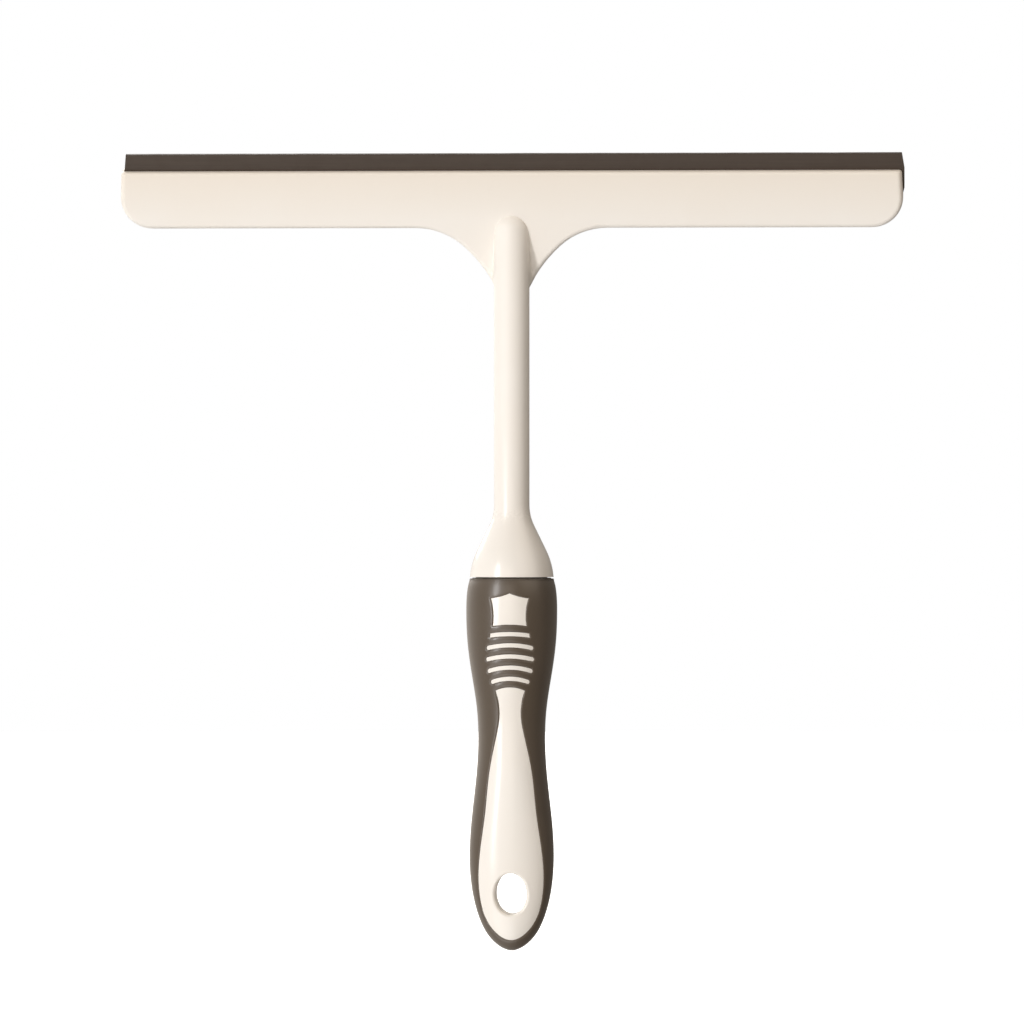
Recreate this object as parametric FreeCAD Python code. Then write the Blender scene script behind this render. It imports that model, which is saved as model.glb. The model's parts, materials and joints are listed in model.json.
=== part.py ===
import FreeCAD, Part

import math
import os

# Window squeegee. Millimetres. The origin is the centre of the hang hole near the handle's tip.
# +Z runs up the handle and neck to the rubber blade, +X along the blade, and -Y is the front
# (thumb) side. The neck and handle share the Z axis. The head leans its blade edge to the front.

V = FreeCAD.Vector
AXIS_X = V(1, 0, 0)
AXIS_Y = V(0, 1, 0)
AXIS_Z = V(0, 0, 1)
FAR = 60.0  # reach of cutting solids past the part they cut
TOUCH = 1e-6  # distance under which two places are the same

# Head. It is drawn upright, front face on Y = 0, then leaned about the X axis and lifted.
HEAD_LENGTH = 300.0
HEAD_LEAN = 18.0
HEAD_PIVOT_Z = 251.5
HEAD_FORWARD = 1.8
HEAD_THICKNESS = 8.4
HEAD_TOP = 25.8
HEAD_BOTTOM = 3.3
SHELL_WALL = 2.2
TOP_CORNER_R = 1.2
WING_CORNER_R = 12.0
WING_END_DRAFT = 0.5
FRONT_EDGE_R = 1.9
REAR_EDGE_R = 1.4

# Tongue: the underside sweeps from each wing down to the neck on two concave arcs.
SWEEP_START_X = 37.0
SWEEP_R = (27.0, 54.0)
SWEEP_TURN = (43.0, 65.0)
TONGUE_REAR_Y = 9.0
TONGUE_EDGE_R = 0.8

# Saddle: drafted side walls that carry the neck out in front of the leaning tongue.
SADDLE_DRAFT = 14.5
SADDLE_DEPTH = 8.0
SADDLE_TIP_Z = 233.2
SADDLE_SHOULDER = (10.4, 240.0)
SADDLE_TOP_Z = 256.0

# Blade slot: a bead pocket under a narrower mouth, closed at the left end and open at the right.
MOUTH_GAP = 3.2
MOUTH_BOTTOM = 19.0
POCKET_GAP = 4.4
POCKET_BOTTOM = 15.3
SLOT_LEFT_X = -148.6

# Rubber blade.
BLADE_CLEARANCE = 0.15
BLADE_LEFT_X = -148.4
BLADE_RIGHT_X = 150.5
BLADE_TIP = 32.1
BLADE_TIP_THICKNESS = 1.8
BLADE_END_SLANT = 1.0
BEAD_EDGE_R = 0.8

# Cavities and screws of the head.
CAVITY_X = (12.0, 137.0)
CAVITY_BOTTOM = 6.0
CAVITY_TOP = 13.2
COVER_SCREW_X = (27.0, 80.0, 133.0)
COVER_SCREW_UP = 9.6
COVER_SCREW_LENGTH = 6.2
SCREW_SHANK_D = 2.8
SCREW_HEAD_D = 5.4
SCREW_HEAD_H = 1.5
SCREW_POINT_SHARE = 0.2
RECESS_SPAN = 3.0
RECESS_SLOT = 0.75
RECESS_DEPTH = 1.0
BOSS_D = 6.6
COVER_SEAM = 0.15

# Neck: a round stem with a domed top, flared to the width of the grip, on a spigot.
NECK_R = 6.8
DOME_CENTRE_Z = 254.4
FLARE_TOP_Z = 149.0
FLARE_UPPER_R = 18.2
FLARE_SLOPE = 26.0
FLARE_STRAIGHT = 10.5
COLLAR_Z = 121.3
COLLAR_R = 16.1
SPIGOT_R = 9.0
SPIGOT_END_Z = 80.0
NECK_BORE_R = 3.7
NECK_BORE_TOP_Z = 222.0
NECK_SCREW_Z = (238.5, 247.0)
NECK_SCREW_LENGTH = 12.0

# Handle. Stations from top to tip: height, half width, half depth.
HANDLE_STATIONS = (
    (121.3, 16.0, 15.9),
    (117.5, 16.8, 16.6),
    (107.0, 17.4, 16.9),
    (96.0, 16.9, 16.0),
    (84.0, 15.3, 14.2),
    (71.0, 13.35, 12.6),
    (58.0, 12.8, 12.1),
    (44.0, 13.65, 12.1),
    (29.0, 15.3, 11.6),
    (12.0, 16.1, 10.7),
    (1.0, 15.1, 9.8),
    (-8.0, 12.9, 8.5),
    (-15.0, 9.7, 6.7),
    (-19.5, 5.7, 4.2),
    (-21.3, 2.7, 2.2),
)
HANDLE_TIP_Z = -21.9
GRIP_TOP_Z = 120.6
GRIP_WALL = 2.5
WINDOW_RECESS = 0.35
BELLY_Z = 12.0
THIN_SECTION_SHARE = 0.4  # an inset section flatter than this share of the inset is left out of the loft

# Windows in the grip, seen from the front, symmetrical about X = 0. A slit is a width, arch and end bulge.
SHIELD_TOP = (7.3, 113.2)
SHIELD_PEAK_Z = 115.1
SHIELD_SHOULDER = (3.8, 113.85)
SHIELD_WAIST = (6.2, 107.6)
SHIELD_FOOT = (6.5, 102.7)
SHIELD_FOOT_RISE = 0.5
SLIT_HEIGHT = 1.6
SLIT_TOP_Z = 100.4
SLIT_PITCH = 4.27
SLITS = ((14.9, 0.6, 0.0), (17.0, 1.1, 0.5), (17.5, 1.2, 0.5), (16.4, 1.4, 0.5), (13.9, 1.3, 0.5))
SLIT_END_FLARE = 0.3  # how much further out the foot of an unrounded slit end lies than its top
DROP_TOP_Z = 79.2
DROP_SIDE = (
    (5.6, 77.9),
    (4.1, 70.0),
    (5.2, 61.4),
    (8.2, 47.0),
    (9.9, 31.0),
    (12.5, 10.5),
    (11.9, -2.5),
    (7.5, -13.3),
)
DROP_TIP_Z = -18.0
HANG_HOLE = (6.1, 8.0)
HANG_HOLE_EDGE_R = 0.9
HOLE_TOLERANCE = 1e-3
REAR_WINDOW = (10.4, 12.6)

# Inside the handle.
CORE_WALL = 2.4
CORE_CAVITY_Z = (15.0, 76.0)
CORE_SCREW_Z = (68.0, 44.0, 21.0)
CORE_SCREW_SEAT_Y = 5.2
CORE_SCREW_LENGTH = 11.0
PAN_HEAD_H = 2.2
PAN_HEAD_EDGE_R = 0.55
SEAT_CLEARANCE = 0.1
NECK_PIN_R = 2.0
NECK_PIN_Z = 91.0
NECK_PIN_LENGTH = 25.0


def block(x, y, z):
    """Box from three (low, high) pairs."""
    return Part.makeBox(x[1] - x[0], y[1] - y[0], z[1] - z[0], V(x[0], y[0], z[0]))


def xz_arc(first, middle, last):
    """Arc in the XZ plane through three (x, z) points."""
    return Part.Arc(*(V(x, 0, z) for x, z in (first, middle, last))).toShape()


def xz_line(first, last):
    return Part.makeLine(V(first[0], 0, first[1]), V(last[0], 0, last[1]))


def xz_turn(centre, radius, start, end):
    """Arc in the XZ plane about a centre, between two angles in degrees."""
    angles = (math.radians(a) for a in (start, (start + end) / 2, end))
    return xz_arc(*((centre[0] + radius * math.cos(a), centre[1] + radius * math.sin(a)) for a in angles))


def both_sides(edges):
    """Face in the XZ plane from the edges of its right half and their mirror image."""
    mirrored = [e.mirror(V(0, 0, 0), AXIS_X) for e in edges]
    return Part.Face(Part.Wire(Part.__sortEdges__(edges + mirrored)))


def fillet_where(shape, radius, chosen):
    """Fillets the edges for which chosen(middle point, edge) is true."""
    picked = [e for e in shape.Edges if chosen(e.valueAt((e.FirstParameter + e.LastParameter) / 2), e)]
    return shape.makeFillet(radius, picked)


def lean(shape):
    """Moves a piece of the head from its upright drawing to its place on the neck."""
    placed = shape.copy()
    placed.rotate(V(0, 0, 0), AXIS_X, HEAD_LEAN)
    placed.translate(V(0, -HEAD_FORWARD, HEAD_PIVOT_Z))
    return placed


def countersunk_screw(length):
    """Countersunk screw with its flat head on Z = 0, its point down and no recess."""
    shank_r = SCREW_SHANK_D / 2
    head = Part.makeCone(shank_r, SCREW_HEAD_D / 2, SCREW_HEAD_H, V(0, 0, -SCREW_HEAD_H))
    shank = Part.makeCylinder(shank_r, length - SCREW_HEAD_H - shank_r, V(0, 0, -length + shank_r))
    point = Part.makeCone(shank_r * SCREW_POINT_SHARE, shank_r, shank_r, V(0, 0, -length))
    return head.fuse([shank, point]).removeSplitter()


def with_cross_recess(screw):
    """Cuts the driver's cross into the top of a screw that ends on Z = 0."""
    half_span = RECESS_SPAN / 2
    half_slot = RECESS_SLOT / 2
    depth = (-RECESS_DEPTH, RECESS_DEPTH)
    along = block((-half_span, half_span), (-half_slot, half_slot), depth)
    across = block((-half_slot, half_slot), (-half_span, half_span), depth)
    return screw.cut([along, across])


def facing_rear(screw, x, y, z):
    """Turns a screw drawn on Z so that its head faces +Y, and puts the head at a point."""
    placed = screw.copy()
    placed.rotate(V(0, 0, 0), AXIS_X, -90)
    placed.translate(V(x, y, z))
    return placed


# ---------------------------------------------------------------- head


def wing_end_edges(top=HEAD_TOP):
    """Right end of the head's outline, from the middle of its top down to the start of the sweep."""
    half = HEAD_LENGTH / 2
    centre = (half - WING_CORNER_R, HEAD_BOTTOM + WING_CORNER_R)
    end_foot = (half, centre[1])
    lean_in = WING_END_DRAFT * (top - end_foot[1]) / (HEAD_TOP - end_foot[1])
    end_top = (half - lean_in, top)
    return [
        xz_line((0, top), end_top),
        xz_line(end_top, end_foot),
        xz_turn(centre, WING_CORNER_R, 0, -90),
        xz_line((centre[0], HEAD_BOTTOM), (SWEEP_START_X, HEAD_BOTTOM)),
    ]


def sweep_edges():
    """Two tangent concave arcs from a wing's underside to the tongue's tip, and half of the tip."""
    first_r, second_r = SWEEP_R
    first_turn, second_turn = (90 + turn for turn in SWEEP_TURN)
    first_centre = (SWEEP_START_X, HEAD_BOTTOM - first_r)
    a = math.radians(first_turn)
    shift = first_r - second_r
    second_centre = (first_centre[0] + shift * math.cos(a), first_centre[1] + shift * math.sin(a))
    b = math.radians(second_turn)
    tip = (second_centre[0] + second_r * math.cos(b), second_centre[1] + second_r * math.sin(b))
    return [
        xz_turn(first_centre, first_r, 90, first_turn),
        xz_turn(second_centre, second_r, first_turn, second_turn),
        xz_line(tip, (0, tip[1])),
    ]


def blade_slot():
    """Space for the rubber blade: mouth and bead pocket, upright."""
    middle = HEAD_THICKNESS / 2
    ends = (SLOT_LEFT_X, FAR + HEAD_LENGTH)
    mouth = block(ends, (middle - MOUTH_GAP / 2, middle + MOUTH_GAP / 2), (MOUTH_BOTTOM, FAR))
    pocket = block(ends, (middle - POCKET_GAP / 2, middle + POCKET_GAP / 2), (POCKET_BOTTOM, MOUTH_BOTTOM))
    return mouth.fuse(pocket)


def wing_cavities():
    """Hollows under the blade slot, one in each wing, with the screw bosses left standing."""
    depth = (SHELL_WALL, HEAD_THICKNESS - SHELL_WALL)
    cavity = block(CAVITY_X, depth, (CAVITY_BOTTOM, CAVITY_TOP))
    for x in COVER_SCREW_X:
        foot = V(x, 0, COVER_SCREW_UP)
        cavity = cavity.cut(Part.makeCylinder(BOSS_D / 2, HEAD_THICKNESS, foot, AXIS_Y))
    return [cavity, cavity.mirror(V(0, 0, 0), AXIS_X)]


def at_cover_screws(screw):
    """A screw repeated at the six fixings of the rear cover, upright."""
    places = [side * x for x in COVER_SCREW_X for side in (-1, 1)]
    return [facing_rear(screw, x, HEAD_THICKNESS, COVER_SCREW_UP) for x in places]


def with_round_top_corners(plate):
    """Rounds the two corners at the ends of an upright plate's top edge."""
    corner_x = HEAD_LENGTH / 2 - WING_END_DRAFT - FRONT_EDGE_R - TOUCH
    return fillet_where(plate, TOP_CORNER_R, lambda p, e: p.z > HEAD_TOP - TOUCH and abs(p.x) > corner_x)


def front_plate():
    """Front half of the head, wings and tongue, rounded in front but for its crisp top edge."""
    tall = both_sides(wing_end_edges(2 * HEAD_TOP) + sweep_edges()).extrude(V(0, HEAD_THICKNESS / 2, 0))
    tall = fillet_where(tall, FRONT_EDGE_R, lambda p, e: e.BoundBox.YMax < TOUCH and p.z < HEAD_TOP + TOUCH)
    plate = tall.cut(block((-HEAD_LENGTH, HEAD_LENGTH), (-FAR, FAR), (HEAD_TOP, HEAD_TOP + FAR)))
    return with_round_top_corners(plate)


def tongue_back():
    """Rear of the tongue below the cover, cut off flat behind the neck."""
    top = HEAD_BOTTOM - COVER_SEAM
    face = both_sides(wing_end_edges() + sweep_edges())
    full = face.extrude(V(0, HEAD_THICKNESS * 2, 0))
    low = block((-SWEEP_START_X, SWEEP_START_X), (HEAD_THICKNESS / 2, FAR), (-FAR, top))
    behind = block((-FAR, FAR), (HEAD_THICKNESS, FAR), (0, FAR))
    return lean(full.common(low).cut(behind))


def saddle():
    """Block with drafted sides between the neck's widest line and the tongue."""
    spread = SADDLE_DEPTH * math.tan(math.radians(SADDLE_DRAFT))
    plan = [(-NECK_R, 0), (NECK_R, 0), (NECK_R + spread, SADDLE_DEPTH), (-NECK_R - spread, SADDLE_DEPTH)]
    corners = [V(x, y, SADDLE_TIP_Z) for x, y in plan]
    prism = Part.Face(Part.makePolygon(corners + corners[:1])).extrude(V(0, 0, SADDLE_TOP_Z - SADDLE_TIP_Z))
    wide, shoulder_z = SADDLE_SHOULDER
    side = [(NECK_R, SADDLE_TIP_Z), (wide, shoulder_z), (wide, SADDLE_TOP_Z), (0, SADDLE_TOP_Z)]
    edges = [xz_line(a, b) for a, b in zip([(0, SADDLE_TIP_Z)] + side, side)]
    return prism.common(both_sides(edges).extrude(V(0, FAR, 0)))


def make_head_front_shell(neck_form, cover_fixings, neck_fixings):
    upright = front_plate().cut([blade_slot()] + wing_cavities() + cover_fixings)
    shell = lean(upright).fuse([tongue_back(), saddle()]).removeSplitter()
    shell = shell.cut(block((-FAR, FAR), (TONGUE_REAR_Y, FAR), (0, HEAD_PIVOT_Z + FAR)))
    flat = TONGUE_REAR_Y - TOUCH
    shell = fillet_where(shell, TONGUE_EDGE_R, lambda p, e: p.y > flat and e.BoundBox.ZLength > TONGUE_EDGE_R)
    return shell.cut([neck_form] + neck_fixings)


def make_head_rear_cover(cover_fixings):
    half_face = both_sides(wing_end_edges() + [xz_line((SWEEP_START_X, HEAD_BOTTOM), (0, HEAD_BOTTOM))])
    cover = half_face.extrude(V(0, HEAD_THICKNESS / 2, 0))
    cover = with_round_top_corners(cover)
    cover.translate(V(0, HEAD_THICKNESS / 2, 0))
    at_rear = HEAD_THICKNESS - TOUCH
    cover = fillet_where(cover, REAR_EDGE_R, lambda p, e: p.y > at_rear and e.BoundBox.YLength < TOUCH)
    return lean(cover.cut([blade_slot()] + wing_cavities() + cover_fixings))


def make_rubber_blade():
    """Constant section drawn in the YZ plane and pulled along X: bead, web and tapered lip."""
    middle = HEAD_THICKNESS / 2
    bead = POCKET_GAP / 2 - BLADE_CLEARANCE
    web = MOUTH_GAP / 2 - BLADE_CLEARANCE
    low = POCKET_BOTTOM + BLADE_CLEARANCE
    shoulder = MOUTH_BOTTOM - BLADE_CLEARANCE
    half = [(bead, low), (bead, shoulder), (web, shoulder), (web, HEAD_TOP), (BLADE_TIP_THICKNESS / 2, BLADE_TIP)]
    outline = half + [(-y, z) for y, z in reversed(half)]
    corners = [V(BLADE_LEFT_X, middle + y, z) for y, z in outline]
    strip = Part.Face(Part.makePolygon(corners + corners[:1])).extrude(V(BLADE_RIGHT_X - BLADE_LEFT_X, 0, 0))
    strip = fillet_where(strip, BEAD_EDGE_R, lambda p, e: p.z < low + TOUCH and e.Length > HEAD_LENGTH / 2)
    slant = [(0, HEAD_TOP), (0, BLADE_TIP), (-BLADE_END_SLANT, BLADE_TIP)]
    wedge_corners = [V(BLADE_RIGHT_X + x, 0, z) for x, z in slant]
    wedge = Part.Face(Part.makePolygon(wedge_corners + wedge_corners[:1])).extrude(V(0, HEAD_THICKNESS, 0))
    return lean(strip.cut(wedge))


# ---------------------------------------------------------------- neck


def neck_profile():
    """Right half of the neck's section in the XZ plane, from the dome to the spigot's end."""
    slope = math.radians(FLARE_SLOPE)
    dome_top = (0, DOME_CENTRE_Z + NECK_R)
    stem_top = (NECK_R, DOME_CENTRE_Z)
    flare_top = (NECK_R, FLARE_TOP_Z)
    upper_centre = (NECK_R + FLARE_UPPER_R, FLARE_TOP_Z)
    reach = FLARE_UPPER_R * (1 - math.cos(slope))
    slope_top = (NECK_R + reach, FLARE_TOP_Z - FLARE_UPPER_R * math.sin(slope))
    run = FLARE_STRAIGHT
    slope_end = (slope_top[0] + run * math.sin(slope), slope_top[1] - run * math.cos(slope))
    chord = math.hypot(COLLAR_R - slope_end[0], slope_end[1] - COLLAR_Z)
    chord_slope = math.atan2(COLLAR_R - slope_end[0], slope_end[1] - COLLAR_Z)
    lower_r = chord / (2 * math.sin(slope - chord_slope))
    lower_centre = (slope_end[0] - lower_r * math.cos(slope), slope_end[1] - lower_r * math.sin(slope))
    lower_end = math.degrees(2 * chord_slope - slope)
    points = [(COLLAR_R, COLLAR_Z), (SPIGOT_R, COLLAR_Z), (SPIGOT_R, SPIGOT_END_Z), (0, SPIGOT_END_Z), dome_top]
    return [
        xz_turn((0, DOME_CENTRE_Z), NECK_R, 90, 0),
        xz_line(stem_top, flare_top),
        xz_turn(upper_centre, FLARE_UPPER_R, 180, 180 + FLARE_SLOPE),
        xz_line(slope_top, slope_end),
        xz_turn(lower_centre, lower_r, FLARE_SLOPE, lower_end),
    ] + [xz_line(a, b) for a, b in zip(points, points[1:])]


def neck_outside():
    """Neck without its bore, stepped back behind the dome where the rear cover passes."""
    section = Part.Face(Part.Wire(Part.__sortEdges__(neck_profile())))
    body = section.revolve(V(0, 0, 0), AXIS_Z, 360)
    step = block((-FAR, FAR), (HEAD_THICKNESS / 2, FAR), (HEAD_BOTTOM - COVER_SEAM, FAR))
    return body.cut(lean(step))


def at_neck_screws(screw):
    """A screw repeated at the two fixings of the neck, with its head on the tongue's flat back."""
    return [facing_rear(screw, 0, TONGUE_REAR_Y, z) for z in NECK_SCREW_Z]


def make_neck(neck_form, neck_fixings, pin):
    bore = Part.makeCylinder(NECK_BORE_R, NECK_BORE_TOP_Z - SPIGOT_END_Z + 1, V(0, 0, SPIGOT_END_Z - 1))
    return neck_form.cut([bore, pin] + neck_fixings)


# ---------------------------------------------------------------- handle


def handle_loft(inset):
    """Handle's outside drawn in by an inset. Towards the tip the stations also move up by it."""
    wires = []
    for z, half_width, half_depth in HANDLE_STATIONS:
        toward_tip = max(0.0, (BELLY_Z - z) / (BELLY_Z - HANDLE_TIP_Z))
        centre = V(0, 0, z + inset * toward_tip ** 2)
        depth = half_depth - inset
        if depth > THIN_SECTION_SHARE * inset:
            wires.append(Part.Wire(Part.Ellipse(centre, half_width - inset, depth).toShape()))
    wires.append(Part.Vertex(0, 0, HANDLE_TIP_Z + inset))
    return Part.makeLoft(wires, True, False)


def pulled_through(face, sign):
    """A face in the XZ plane pulled to the front (sign -1) or the rear (+1)."""
    return face.extrude(V(0, sign * FAR, 0))


def shield_face():
    mirror_foot = (-SHIELD_FOOT[0], SHIELD_FOOT[1])
    foot_middle = (0, SHIELD_FOOT[1] + SHIELD_FOOT_RISE)
    side = [xz_arc((0, SHIELD_PEAK_Z), SHIELD_SHOULDER, SHIELD_TOP), xz_arc(SHIELD_TOP, SHIELD_WAIST, SHIELD_FOOT)]
    mirrored = [e.mirror(V(0, 0, 0), AXIS_X) for e in side]
    foot = xz_arc(SHIELD_FOOT, foot_middle, mirror_foot)
    return Part.Face(Part.Wire(Part.__sortEdges__(side + mirrored + [foot])))


def slit_face(top, width, arch, bulge):
    """Slit with arched long sides, and ends that bulge out or, with no bulge, flare straight to the foot."""
    half = width / 2
    low = top - SLIT_HEIGHT
    end_top = (half, top - arch)
    if bulge > 0:
        end_foot = (half, low - arch)
        right_end = xz_arc(end_top, (half + bulge, (end_top[1] + end_foot[1]) / 2), end_foot)
    else:
        end_foot = (half + SLIT_END_FLARE, low - arch)
        right_end = xz_line(end_top, end_foot)
    upper = xz_arc((-end_top[0], end_top[1]), (0, top), end_top)
    lower = xz_arc((-end_foot[0], end_foot[1]), (0, low), end_foot)
    left_end = right_end.mirror(V(0, 0, 0), AXIS_X)
    return Part.Face(Part.Wire(Part.__sortEdges__([upper, right_end, lower, left_end])))


def drop_face():
    """Long drop around the hang hole: arched top, pinched neck, full round foot."""
    right = [V(x, 0, z) for x, z in DROP_SIDE]
    left = [V(-x, 0, z) for x, z in reversed(DROP_SIDE)]
    side = Part.BSplineCurve()
    side.interpolate(right + [V(0, 0, DROP_TIP_Z)] + left)
    corner = DROP_SIDE[0]
    top = xz_arc((-corner[0], corner[1]), (0, DROP_TOP_Z), corner)
    return Part.Face(Part.Wire([side.toShape(), top]))


def windows():
    """Cutting solids of every window: shield, slits and drop at the front, ring at the rear."""
    tops = [SLIT_TOP_Z - i * SLIT_PITCH for i in range(len(SLITS))]
    slits = [slit_face(top, *slit) for top, slit in zip(tops, SLITS)]
    front = [pulled_through(face, -1) for face in [shield_face(), drop_face()] + slits]
    ring = Part.Ellipse(V(0, 0, REAR_WINDOW[1]), V(REAR_WINDOW[0], 0, 0), V(0, 0, 0))
    rear = Part.Face(Part.Wire(ring.toShape()))
    return front + [pulled_through(rear, 1)]


def hang_hole():
    ellipse = Part.Ellipse(V(0, 0, HANG_HOLE[1]), V(HANG_HOLE[0], 0, 0), V(0, 0, 0))
    tube = Part.Face(Part.Wire(ellipse.toShape())).extrude(V(0, 2 * FAR, 0))
    tube.translate(V(0, -FAR, 0))
    return tube


def pan_head_screw():
    """Pan head screw with the top of its head on Z = 0 and no recess."""
    head = Part.makeCylinder(SCREW_HEAD_D / 2, PAN_HEAD_H, V(0, 0, -PAN_HEAD_H))
    head = fillet_where(head, PAN_HEAD_EDGE_R, lambda p, e: p.z > -TOUCH and e.BoundBox.ZLength < TOUCH)
    shank_foot = V(0, 0, -PAN_HEAD_H - CORE_SCREW_LENGTH)
    return head.fuse(Part.makeCylinder(SCREW_SHANK_D / 2, CORE_SCREW_LENGTH, shank_foot))


def at_core_screws(screw):
    """A screw repeated at the three fixings that draw the core halves together from behind."""
    return [facing_rear(screw, 0, CORE_SCREW_SEAT_Y + PAN_HEAD_H, z) for z in CORE_SCREW_Z]


def make_neck_pin():
    foot = V(-NECK_PIN_LENGTH / 2, 0, NECK_PIN_Z)
    return Part.makeCylinder(NECK_PIN_R, NECK_PIN_LENGTH, foot, AXIS_X)


def core_hollows():
    """Everything taken out of the core: neck socket, cavity around the bosses and screw seats."""
    socket_top = COLLAR_Z + 1
    socket = Part.makeCylinder(SPIGOT_R, socket_top - SPIGOT_END_Z, V(0, 0, SPIGOT_END_Z))
    low, high = CORE_CAVITY_Z
    cavity = handle_loft(GRIP_WALL + CORE_WALL).common(block((-FAR, FAR), (-FAR, FAR), (low, high)))
    seats = []
    for z in CORE_SCREW_Z:
        cavity = cavity.cut(Part.makeCylinder(BOSS_D / 2, 2 * FAR, V(0, -FAR, z), AXIS_Y))
        seats.append(Part.makeCylinder(SCREW_HEAD_D / 2 + SEAT_CLEARANCE, FAR, V(0, CORE_SCREW_SEAT_Y, z), AXIS_Y))
    return [socket, cavity] + seats


def on_hang_hole(point):
    """True for a point on the hole's wall away from the parting plane."""
    half_width, half_height = HANG_HOLE
    around = math.hypot(point.x / half_width, point.z / half_height)
    return abs(around - 1) < HOLE_TOLERANCE and abs(point.y) > CORE_WALL


def make_core(openings, pin, screws):
    """Whole core: grip's inner form with the windows' pads standing on it, hollowed and drilled."""
    pad_form = handle_loft(WINDOW_RECESS)
    pads = [pad_form.common(w) for w in openings]
    body = handle_loft(GRIP_WALL).fuse(pads).removeSplitter()
    body = body.cut(hang_hole())
    body = fillet_where(body, HANG_HOLE_EDGE_R, lambda p, e: on_hang_hole(p))
    return body.cut(core_hollows() + [pin] + screws)


def make_grip_sleeve(openings):
    outside = handle_loft(0)
    above = block((-FAR, FAR), (-FAR, FAR), (GRIP_TOP_Z, GRIP_TOP_Z + FAR))
    return outside.cut([handle_loft(GRIP_WALL), above] + openings)


def make_squeegee():
    neck_form = neck_outside()
    pin = make_neck_pin()
    openings = windows()
    cover_screw = countersunk_screw(COVER_SCREW_LENGTH)
    neck_screw = countersunk_screw(NECK_SCREW_LENGTH)
    core_screw = pan_head_screw()
    cover_fixings = at_cover_screws(cover_screw)
    neck_fixings = at_neck_screws(neck_screw)
    core = make_core(openings, pin, at_core_screws(core_screw))
    cover_screws = [lean(s) for s in at_cover_screws(with_cross_recess(cover_screw))]
    front_side = block((-FAR, FAR), (-FAR, 0), (-FAR, HEAD_LENGTH))
    rear_side = block((-FAR, FAR), (0, FAR), (-FAR, HEAD_LENGTH))
    return {
        "head_front_shell": make_head_front_shell(neck_form, cover_fixings, neck_fixings),
        "head_rear_cover": make_head_rear_cover(cover_fixings),
        "rear_cover_screws": Part.makeCompound(cover_screws),
        "rubber_blade": make_rubber_blade(),
        "neck": make_neck(neck_form, neck_fixings, pin),
        "neck_screws": Part.makeCompound(at_neck_screws(with_cross_recess(neck_screw))),
        "neck_pin": pin,
        "handle_core_front": core.common(front_side),
        "handle_core_rear": core.common(rear_side),
        "core_screws": Part.makeCompound(at_core_screws(with_cross_recess(core_screw))),
        "grip_sleeve": make_grip_sleeve(openings),
    }


os.makedirs("parts", exist_ok=True)
for node, shape in make_squeegee().items():
    box = shape.BoundBox
    print(node, len(shape.Solids), "solids", round(shape.Volume), "mm3 valid", shape.isValid(),
          "x", round(box.XMin, 1), round(box.XMax, 1), "y", round(box.YMin, 1), round(box.YMax, 1),
          "z", round(box.ZMin, 1), round(box.ZMax, 1))
    shape.exportStep("parts/" + node + ".step")
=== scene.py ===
import json
import math

import bmesh
import bpy
import numpy as np
from mathutils import Matrix, Vector
from mathutils.geometry import delaunay_2d_cdt
from mathutils.kdtree import KDTree


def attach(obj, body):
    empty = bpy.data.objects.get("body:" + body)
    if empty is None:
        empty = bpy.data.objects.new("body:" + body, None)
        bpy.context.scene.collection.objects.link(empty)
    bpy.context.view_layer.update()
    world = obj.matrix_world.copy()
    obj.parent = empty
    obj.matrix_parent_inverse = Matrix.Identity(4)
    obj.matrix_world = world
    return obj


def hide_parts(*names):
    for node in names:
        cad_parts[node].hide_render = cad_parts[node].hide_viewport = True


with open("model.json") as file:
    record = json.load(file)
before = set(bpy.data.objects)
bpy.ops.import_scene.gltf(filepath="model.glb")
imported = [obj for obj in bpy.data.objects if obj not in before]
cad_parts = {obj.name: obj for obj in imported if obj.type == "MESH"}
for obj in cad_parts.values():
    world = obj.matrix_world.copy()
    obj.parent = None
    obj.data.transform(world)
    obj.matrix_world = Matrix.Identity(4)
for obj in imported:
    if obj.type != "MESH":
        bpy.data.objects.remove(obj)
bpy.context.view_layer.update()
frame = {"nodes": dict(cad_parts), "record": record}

# Window squeegee. Shapes are written in millimetres and become metres when a mesh is made. The
# origin is the centre of the hang hole, +Z runs up to the blade, +X along it, -Y is the thumb side.

MM = 0.001
BODY = "head_and_handle"


# ---------------------------------------------------------------- nodes


def srgb(code):
    """A hex colour such as "#efe6d6" as linear RGBA."""
    channels = (int(code[i:i + 2], 16) / 255 for i in (1, 3, 5))
    return (*((c / 12.92 if c <= 0.04045 else ((c + 0.055) / 1.055) ** 2.4) for c in channels), 1.0)


def add_node(tree, kind, inputs=None, links=None, **settings):
    """Adds a node, sets its settings and input values, and links other nodes' outputs to its inputs."""
    node = tree.nodes.new(kind)
    for name, value in settings.items():
        setattr(node, name, value)
    for name, value in (inputs or {}).items():
        node.inputs[name].default_value = value
    for name, output in (links or {}).items():
        tree.links.new(output, node.inputs[name])
    return node


def ramp(tree, source, start, end, low, high):
    """Takes a value from low at start to high at end, and holds it beyond them."""
    settings = {"From Min": start, "From Max": end, "To Min": low, "To Max": high}
    return add_node(tree, "ShaderNodeMapRange", settings, {"Value": source}).outputs["Result"]


def calc(tree, operation, first, second):
    """Arithmetic on a first output and a second output or number."""
    node = add_node(tree, "ShaderNodeMath", links={0: first}, operation=operation)
    if isinstance(second, float):
        node.inputs[1].default_value = second
    else:
        tree.links.new(second, node.inputs[1])
    return node.outputs["Value"]


# ---------------------------------------------------------------- materials

NOISE_MIDDLE = (0.3, 0.7)     # most of a noise's values lie between these
PAINTED_SHADE_Z = (258.0, 276.0)     # painted shade: the cream plastic's colour darkens over this height, toward the blade's mouth
MATT_Z = (140.0, 185.0)       # it turns matt over this height, toward the head
MATT_GAIN = 0.34


def new_material(name):
    """An empty node material: (material, tree)."""
    material = bpy.data.materials.new(name)
    material.use_nodes = True
    material.node_tree.nodes.clear()
    return material, material.node_tree


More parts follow.
